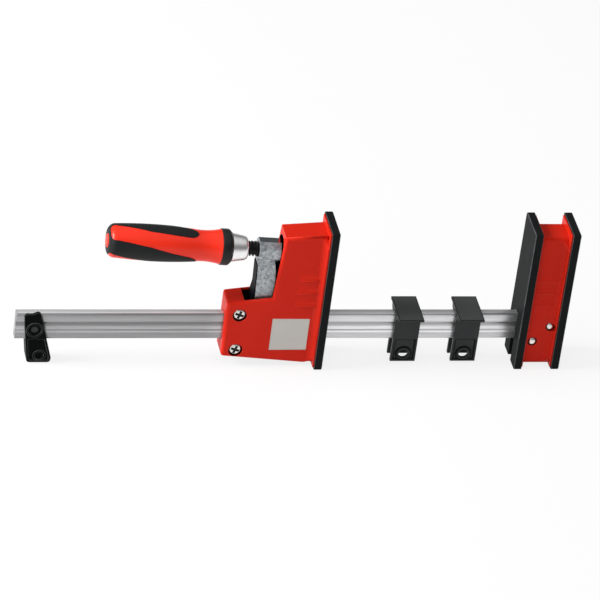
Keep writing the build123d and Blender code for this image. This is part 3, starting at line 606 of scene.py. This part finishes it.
def spangle(material, scale, dark, light):
    """Cast zinc's crystal patches, in place of the material's own tone."""
    tree = material.node_tree
    point = own_place(tree, (-1600, 600))
    warp = shader_node(tree, "ShaderNodeTexNoise", (-1400, 800), Scale=scale * 1.4, Detail=3.0)
    tree.links.new(point, warp.inputs["Vector"])
    shift = shader_node(tree, "ShaderNodeVectorMath", (-1200, 800), operation="MULTIPLY_ADD")
    shift.inputs[1].default_value = (SPANGLE_WARP * MM,) * 3
    tree.links.new(warp.outputs["Color"], shift.inputs[0])
    tree.links.new(point, shift.inputs[2])
    cells = shader_node(tree, "ShaderNodeTexVoronoi", (-1000, 700), Scale=scale)
    tree.links.new(shift.outputs[0], cells.inputs["Vector"])
    patches = shader_node(tree, "ShaderNodeValToRGB", (-760, 700))
    fill_ramp(patches, [(0.0, dark + (1,)), (1.0, light + (1,))])
    tree.links.new(cells.outputs["Color"], patches.inputs["Fac"])
    tree.links.new(patches.outputs["Color"], tree.nodes["Principled BSDF"].inputs["Base Color"])


def drawn_lines_and_painted_bands(material, bands, end_shade):
    """Lengthwise bands of painted reflection and shade by height, and fine drawing lines along the rail, in
    place of the material's own tone.

    Its sides, not its top, are painted darker towards the free end.
    """
    tree = material.node_tree
    point = own_place(tree, (-1800, 700))
    parts = split_place(tree, point, (-1600, 700))
    height = shader_node(tree, "ShaderNodeMapRange", (-1400, 700), From_Min=RAIL_BOTTOM * MM,
                         From_Max=RAIL_TOP * MM)
    tree.links.new(parts["Z"], height.inputs["Value"])
    ramp = shader_node(tree, "ShaderNodeValToRGB", (-1200, 700))
    fill_ramp(ramp, [((level - RAIL_BOTTOM) / (RAIL_TOP - RAIL_BOTTOM), (tone, tone, tone * 1.02, 1))
                     for level, tone in bands])
    tree.links.new(height.outputs["Result"], ramp.inputs["Fac"])
    stretch = shader_node(tree, "ShaderNodeMapping", (-1400, 400), Scale=(0.02, 1, 1))
    tree.links.new(point, stretch.inputs["Vector"])
    lines = shader_node(tree, "ShaderNodeTexNoise", (-1200, 400), Scale=1500.0, Detail=3.0)
    tree.links.new(stretch.outputs["Vector"], lines.inputs["Vector"])
    strength = shader_node(tree, "ShaderNodeMapRange", (-1000, 400), From_Min=0.3, From_Max=0.7,
                           To_Min=0.86, To_Max=1.08)
    tree.links.new(lines.outputs["Fac"], strength.inputs["Value"])
    end_darkening = shader_node(tree, "ShaderNodeMapRange", (-1000, 150), From_Min=END_SHADE_FROM * MM,
                          From_Max=END_SHADE_TO * MM, To_Min=end_shade, To_Max=1.0)
    tree.links.new(parts["X"], end_darkening.inputs["Value"])
    top = math_node(tree, "GREATER_THAN", parts["Z"], TOP_FACE * MM, (-1000, -50))
    darkened = math_node(tree, "MAXIMUM", end_darkening.outputs["Result"], top, (-860, 100))
    tone = math_node(tree, "MULTIPLY", strength.outputs["Result"], darkened, (-860, 300))
    scaled = shader_node(tree, "ShaderNodeVectorMath", (-760, 600), operation="SCALE")
    tree.links.new(ramp.outputs["Color"], scaled.inputs[0])
    tree.links.new(tone, scaled.inputs["Scale"])
    tree.links.new(scaled.outputs[0], tree.nodes["Principled BSDF"].inputs["Base Color"])


materials = {
    "rail": finish("drawn_steel", (0.62, 0.63, 0.65), 0.32, 0.8, 0.04, (0.01, 1, 1), 2500.0, 0.2),
    # Housing edges lightened: rubbed wear and painted highlight
    "red_housing": finish("red_moulding", RED, 0.38, 0.0, 0.03, fine=2200.0, bump=0.2, specular=0.1,
                          edge=0.0005, edge_colour=EDGE_WEAR_AND_HIGHLIGHT_RED),
    "black_pad": finish("black_pad_plastic", BLACK, 0.6, 0.0, 0.15, fine=2600.0, bump=0.4, specular=0.05,
                        edge_colour=EDGE_WEAR_AND_HIGHLIGHT_BLACK),
    # The supports' rounded edges are darkened to deep black
    "black_clip": finish("black_clip_plastic", SUPPORT_BLACK, 0.36, 0.0, 0.12, fine=1800.0, bump=0.15,
                         specular=0.12, edge=0.0009, edge_colour=DEEP_BLACK),
    "steel": finish("turned_steel", (0.55, 0.56, 0.58), 0.3, 1.0),
    "core_steel": finish("phosphated_steel", (0.05, 0.052, 0.055), 0.5, 0.5, 0.1),
    "zinc_screw": finish("zinc_plate", (0.80, 0.78, 0.74), 0.26, 1.0, 0.1, drift=300.0),
    "plate": finish("brushed_plate", (0.50, 0.48, 0.45), 0.4, 0.8, 0.03, (1, 1, 0.02), 2600.0, 0.3),
    "arm": finish("zinc_casting", (0.55, 0.58, 0.60), 0.42, 0.8, 0.18, fine=900.0, bump=0.5,
                  bump_distance=0.0001),
    "spring": finish("blued_spring_steel", (0.004, 0.006, 0.009), 0.5, specular=0.03),
    "black_screw": finish("blackened_thread", (0.012, 0.012, 0.013), 0.34, 0.4, specular=0.3),
    "chrome_ferrule": finish("bright_ferrule", (0.98, 0.98, 0.98), 0.34, 1.0, 0.08, bump=0.3, drift=400.0),
    "black_collar": finish("black_collar_plastic", BLACK, 0.4, 0.0, 0.1, specular=0.25),
    "red_handle": finish("red_handle_plastic", HANDLE_RED, 0.32, 0.0, 0.03, fine=1600.0, bump=0.1,
                         specular=0.3),
    "soft_grip": finish("soft_black_rubber", BLACK, 0.6, 0.0, 0.12, fine=3200.0, bump=0.5, specular=0.2),
}
# Painted shade in the recesses round the screws and rivets
shade_recesses(materials["red_housing"], [place + SCREW_RECESS for place in SCREW_PLACES] +
               [place + RIVET_RECESS for place in RIVET_PLACES], RECESS_SHADE)
# Painted shade on the walls inside the sliding housing and its slot
paint_inside_shade(materials["red_housing"], INSIDE_SHADE)
# Painted light on the supports' wing tops, painted shade in their panels' corners and round their bores
shade_supports(materials["black_clip"], WING_TOP_LIGHT, DEEP_BLACK)
spangle(materials["arm"], SPANGLE_SCALE, ZINC_DARK, ZINC_LIGHT)
# Painted reflection and shade bands by height, and painted shade towards the rail's free end
drawn_lines_and_painted_bands(materials["rail"], RAIL_REFLECTION_BANDS, END_SHADE)

# Finishes of single pieces and faces
# Painted shade for the faces inside the screws' crosses
cross_shade_finish = finish("painted_cross_shade", (0.03, 0.03, 0.032), 0.5, 0.6)
# End clip: deep black with its edges lightened, rubbed wear and painted highlight
end_clip_finish = finish("end_clip_plastic", DEEP_BLACK, 0.45, 0.0, 0.2, fine=1800.0, bump=0.2,
                         specular=0.04, edge=0.0006, edge_colour=CLIP_EDGE_WEAR_AND_HIGHLIGHT)
# Pads' bevels: rubbed wear and painted highlight
pad_bevel_wear_and_highlight_finish = finish("pad_bevel_wear_and_highlight", PAD_BEVEL_WEAR_AND_HIGHLIGHT, 0.55, 0.0, 0.3, fine=2600.0, bump=0.4,
                           specular=0.05, drift=120.0)
machined_finish = finish("machined_zinc", (0.42, 0.45, 0.48), 0.16, 1.0, 0.1, bump=0.1, drift=300.0)

slot_of = {row["node"]: row["material_slot"] for row in frame["record"]["subparts"]}
body_of = {node: body for body, names in frame["record"]["behaviour"]["bodies"].items() for node in names}
for name, piece in nodes.items():
    piece.data.materials.clear()
    piece.data.materials.append(materials[slot_of[name]])


def stand_for(piece, node):
    """Give a piece its node's finish and body, and hide the node."""
    piece.data.materials.clear()
    piece.data.materials.append(materials[slot_of[node]])
    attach(piece, body_of[node])
    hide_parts(node)


def second_finish(piece, material, wanted):
    """Give the faces that pass a test another material."""
    piece.data.materials.append(material)
    only(piece)
    pick(piece, wanted)
    piece.active_material_index = 1
    bpy.ops.object.material_slot_assign()
    bpy.ops.object.mode_set(mode="OBJECT")


# Drive line: spindle and its thread, ferrule, collar, handle and lobes

def make_spindle():
    """Turned spindle with the ridge of its thread wound round it."""
    core = lathe("threaded_spindle", SPINDLE_STEPS, sides=64)
    bpy.ops.mesh.primitive_circle_add(vertices=4, radius=0.5 * THREAD_PITCH * MM, rotation=(pi / 2, 0, 0))
    ridge = bpy.context.object
    ridge.name = "thread_ridge"
    bpy.ops.object.transform_apply(location=True, rotation=True, scale=True)
    foot = THREAD_ROOT - FOOT_SUNK
    corners = [(CREST_HALF, THREAD_CREST), (-CREST_HALF, THREAD_CREST),
               (-FOOT_HALF, foot), (FOOT_HALF, foot)]
    for vertex, (along, radius) in zip(ridge.data.vertices, corners):
        vertex.co = Vector((radius, 0, THREAD_START + along)) * MM
    turns = int((THREAD_END - THREAD_START) / THREAD_PITCH)
    apply(ridge, "SCREW", angle=2 * pi, screw_offset=THREAD_PITCH * MM, iterations=turns, steps=48,
          render_steps=48)
    bpy.ops.object.mode_set(mode="EDIT")
    close_ends()
    bpy.ops.object.mode_set(mode="OBJECT")
    ridge.matrix_world = DRIVE_FRAME
    settle(ridge)
    stand_for(join([core, ridge]), "spindle")


def make_handle():
    """Hard red body of the handle, from the collar to the cap in its butt."""
    stations = list(HANDLE_LEAD)
    for step in HANDLE_STEPS:
        distance = HANDLE_START + step * HANDLE_STEP
        stations.append((distance, handle_radius(distance)))
    stations += [butt_point(BUTT_ARC, turn) for turn in BUTT_TURNS]
    stations += [(BUTT_END + proud, radius) for radius, proud in CAP_DOME]
    stand_for(lathe("handle_body", stations, sides=128), "handle_core")


def lobe_half(distance):
    """Half of a lobe's width in degrees: round at the neck, spreading to meet its neighbours at the butt."""
    half = between(LOBE_HALVES, distance)
    if distance < LOBE_START + LOBE_TIP:
        reach = (LOBE_START + LOBE_TIP - distance) / LOBE_TIP
        half = half * sqrt(max(1 - reach ** 2, 0.001))
    if distance > LOBE_END - LOBE_FLARE:
        reach = (distance - LOBE_END + LOBE_FLARE) / LOBE_FLARE
        meeting = 180 / LOBES
        half = meeting - (meeting - half) * sqrt(max(1 - reach ** 2, 0.0))
    return half


def make_lobe(lobe):
    """One soft lobe: a grid laid on the handle, thickened inwards and rounded at its edges."""
    bpy.ops.mesh.primitive_grid_add(x_subdivisions=72, y_subdivisions=22, size=1)
    pad = bpy.context.object
    pad.name = f"soft_lobe_{lobe + 1}"
    for vertex in pad.data.vertices:
        along = (1 - cos(pi * (vertex.co.x + 0.5))) / 2
        distance = LOBE_START + (LOBE_END - LOBE_START) * along
        turn = between(LOBE_TURNS, distance) + 360 / LOBES * lobe + 2 * vertex.co.y * lobe_half(distance)
        radius = handle_radius(distance) + LOBE_PROUD
        vertex.co = Vector((radius * cos(radians(turn)), radius * sin(radians(turn)), distance)) * MM
    apply(pad, "SOLIDIFY", thickness=LOBE_DEEP * MM, offset=1)
    pad.matrix_world = DRIVE_FRAME
    settle(pad)
    apply(pad, "BEVEL", width=LOBE_EDGE * MM, segments=3, limit_method="ANGLE", angle_limit=radians(50))
    settle(pad, 40)
    return pad


def make_band():
    """Soft band over the butt that joins the lobes, open round the hard cap."""
    outside = [butt_point(BUTT_ARC + LOBE_PROUD, turn) for turn in BAND_TURNS]
    inside = [butt_point(BUTT_ARC + LOBE_PROUD - LOBE_DEEP, turn) for turn in BAND_TURNS]
    rim = CAP_DOME[0][0]
    lip = [(BUTT_END + LOBE_PROUD, rim + BAND_LIP), (BUTT_END, rim + BAND_GAP),
           (BUTT_END - LOBE_DEEP, rim + BAND_GAP)]
    return lathe("butt_band", outside + lip + inside[::-1] + outside[:1])


def make_grips():
    """Three soft lobes and the band that joins them, as one piece."""
    grips = join([make_lobe(lobe) for lobe in range(LOBES)] + [make_band()])
    grips.name = "soft_lobes"
    stand_for(grips, "handle_grips")


make_spindle()
stand_for(lathe("cone_ferrule", FERRULE_STEPS), "ferrule")
stand_for(lathe("grip_end_collar", COLLAR_STEPS), "grip_collar")
make_handle()
make_grips()


# Rail: a bar with rounded corners and a sloped groove in each face

def make_rail():
    """Drawn bar of the rail, sized from its solid."""
    low, high = (Vector(corner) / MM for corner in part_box("rail"))
    bpy.ops.mesh.primitive_cube_add(size=1, location=(low + high) / 2 * MM, scale=(high - low) * MM)
    bar = bpy.context.object
    bar.name = "drawn_rail"
    bpy.ops.object.transform_apply(location=True, rotation=True, scale=True)
    bpy.ops.object.mode_set(mode="EDIT")
    for level in (-GROOVE_MOUTH, -GROOVE_FLOOR, GROOVE_FLOOR, GROOVE_MOUTH):
        bpy.ops.mesh.select_all(action="SELECT")
        bpy.ops.mesh.bisect(plane_co=(0, 0, (RAIL_MIDDLE + level) * MM), plane_no=(0, 0, 1))
    for side in (-1, 1):
        pick(bar, lambda middle, normal: normal.y * side > FACING and
             abs(middle.z - RAIL_MIDDLE) < GROOVE_FLOOR / 2)
        bpy.ops.transform.translate(value=(0, -side * GROOVE_DEPTH * MM, 0))
    length = high.x - low.x
    near_corner = (RAIL_TOP - RAIL_BOTTOM) / 2 - RAIL_CORNER / 2

    def lengthwise(start, end):
        return abs(start.x - end.x) > length / 2

    pick_edges(bar, lambda start, end: lengthwise(start, end) and abs(start.z - RAIL_MIDDLE) > near_corner)
    bpy.ops.mesh.bevel(offset=RAIL_CORNER * MM, segments=6, affect="EDGES")
    pick_edges(bar, lambda start, end: lengthwise(start, end) and
               abs(start.z - RAIL_MIDDLE) < GROOVE_MOUTH + GROOVE_ROUND)
    bpy.ops.mesh.bevel(offset=GROOVE_ROUND * MM, segments=3, affect="EDGES")
    pick_edges(bar, lambda start, end: not lengthwise(start, end))
    bpy.ops.mesh.bevel(offset=RAIL_END_EDGE * MM, segments=2, affect="EDGES")
    bpy.ops.object.mode_set(mode="OBJECT")
    settle(bar, 25)
    stand_for(bar, "rail")


make_rail()


# Fasteners: crossed screw heads of the sliding head and rivets of the fixed head

def near_side(x, z, y):
    """Place of a turned fastener whose axis points to the near side."""
    return Matrix.Translation(Vector((x, y, z)) * MM) @ Matrix.Rotation(pi / 2, 4, "X")


def make_screw(x, z):
    """One screw with a rounded head and a cross cut into it."""
    head = lathe("crossed_screw", SCREW_STEPS, near_side(x, z, SCREW_SEAT), 64)
    for turn in CROSS_TURNS:
        bpy.ops.mesh.primitive_cube_add(size=1, location=Vector((x, SCREW_SEAT - CROSS_MIDDLE, z)) * MM,
                                        rotation=(0, radians(turn), 0), scale=CROSS_SIZE * MM)
        cutter = bpy.context.object
        bpy.ops.object.transform_apply(location=True, rotation=True, scale=True)
        apply(head, "BOOLEAN", operation="DIFFERENCE", object=cutter, solver="EXACT")
        bpy.data.objects.remove(cutter)
    apply(head, "BEVEL", width=0.2 * MM, segments=2, limit_method="ANGLE", angle_limit=radians(40))
    settle(head, 40)
    return head


def in_cross(middle, normal):
    """Whether a face of the screws lies in one of their crosses."""
    shallow, deep = CROSS_DEPTHS
    reach = min(Vector((middle.x - x, middle.z - z)).length for x, z in SCREW_PLACES)
    return SCREW_SEAT - deep < middle.y < SCREW_SEAT - shallow and reach < CROSS_REACH


def make_screws():
    """Both screws as one piece, with painted shade in their crosses."""
    screws = join([make_screw(x, z) for x, z in SCREW_PLACES])
    stand_for(screws, "guide_screws")
    second_finish(screws, cross_shade_finish, in_cross)


def make_rivets():
    """Both rivets as one piece, domed at each end."""
    far = [(-RIVET_SPAN - distance, radius) for distance, radius in reversed(RIVET_DOME)]
    outline = far + [(-RIVET_SPAN, RIVET_SHANK), (0.0, RIVET_SHANK)] + RIVET_DOME
    rivets = join([lathe("domed_rivet", outline, near_side(x, z, RIVET_SEAT), 48) for x, z in RIVET_PLACES])
    stand_for(rivets, "fixed_rivets")


make_screws()
make_rivets()

# Housings, pads, arm, clip, supports and plate: their own solids with softened edges
dressed = {node: soften(node, width) for node, width in SOFTENED.items()}
for node, piece in dressed.items():
    stand_for(piece, node)
dressed["end_clip"].data.materials[0] = end_clip_finish

# Lighter bevels between the flat sides of the pads, rubbed wear and painted highlight, and machined top
# facets of the arm's boss
for node in PADS:
    second_finish(dressed[node], pad_bevel_wear_and_highlight_finish,
                  lambda middle, normal: SLANTED[0] < abs(normal.x) < SLANTED[1])
second_finish(dressed["locking_arm"], machined_finish,
              lambda middle, normal: middle.z > BOSS_TOP_FROM and normal.z > FACING)


# Floor, world, lamps and camera

def make_floor():
    """Pale floor that keeps the object's shadow but looks near white to the camera and in reflections."""
    bpy.ops.object.select_all(action="DESELECT")
    bpy.ops.mesh.primitive_plane_add(size=FLOOR_SIZE)
    floor = bpy.context.object
    floor.name = "studio_floor"
    material = bpy.data.materials.new("pale_floor")
    material.use_nodes = True
    tree = material.node_tree
    shader = tree.nodes["Principled BSDF"]
    shader.inputs["Base Color"].default_value = (FLOOR_TONE, FLOOR_TONE, FLOOR_TONE, 1)
    shader.inputs["Roughness"].default_value = 0.9
    shader.inputs["Specular IOR Level"].default_value = 0.1
    ray = shader_node(tree, "ShaderNodeLightPath", (-900, 300))
    mirrored = either(tree, ray.outputs["Is Glossy Ray"], ray.outputs["Is Transmission Ray"], (-700, 300))
    plain = either(tree, ray.outputs["Is Camera Ray"], mirrored, (-500, 300))
    paleness = math_node(tree, "MULTIPLY", plain, FLOOR_PALENESS, (-300, 300))
    glow = shader_node(tree, "ShaderNodeEmission", (-300, 100), Color=(1, 1, 1, 1), Strength=1.0)
    blend = shader_node(tree, "ShaderNodeMixShader", (100, 200))
    tree.links.new(paleness, blend.inputs["Fac"])
    tree.links.new(shader.outputs[0], blend.inputs[1])
    tree.links.new(glow.outputs[0], blend.inputs[2])
    tree.links.new(blend.outputs[0], tree.nodes["Material Output"].inputs["Surface"])
    floor.data.materials.append(material)


def make_sky():
    """Soft light from all sides, with a darker belt that metal can mirror."""
    world = bpy.data.worlds.new("studio")
    bpy.context.scene.world = world
    world.use_nodes = True
    tree = world.node_tree
    background = tree.nodes["Background"]
    background.inputs["Strength"].default_value = SKY_STRENGTH
    place = shader_node(tree, "ShaderNodeTexCoord", (-1000, 0))
    parts = split_place(tree, place.outputs["Generated"], (-800, 0))
    sky = shader_node(tree, "ShaderNodeValToRGB", (-500, 0))
    fill_ramp(sky, [(height, (tone, tone, tone, 1)) for height, tone in SKY_TONES])
    tree.links.new(parts["Z"], sky.inputs["Fac"])
    tree.links.new(sky.outputs["Color"], background.inputs["Color"])


def lamp(name, place, size, power):
    """Soft square lamp that looks at the clamp."""
    data = bpy.data.lights.new(name, "AREA")
    data.shape = "SQUARE"
    data.size = size
    data.energy = power
    light = bpy.data.objects.new(name, data)
    light.location = place
    light.rotation_euler = (Vector(LAMP_AIM) - Vector(place)).to_track_quat("-Z", "Y").to_euler()
    bpy.context.scene.collection.objects.link(light)


def place_camera():
    """Camera at the photograph's viewpoint."""
    data = bpy.data.cameras.new("photo_camera")
    data.lens = CAMERA_LENS
    data.sensor_width = 36
    data.clip_end = 100
    camera = bpy.data.objects.new("photo_camera", data)
    forward = CAMERA_FORWARD.normalized()
    side = forward.cross(CAMERA_UP).normalized()
    up = side.cross(forward)
    turned = Matrix((side, up, -forward)).transposed().to_4x4()
    camera.matrix_world = Matrix.Translation(CAMERA_PLACE) @ turned
    bpy.context.scene.collection.objects.link(camera)
    bpy.context.scene.camera = camera


make_floor()
make_sky()
for name, (place, size, power) in LAMPS.items():
    lamp(name, place, size, power)
place_camera()
bpy.context.scene.view_settings.view_transform = "Standard"
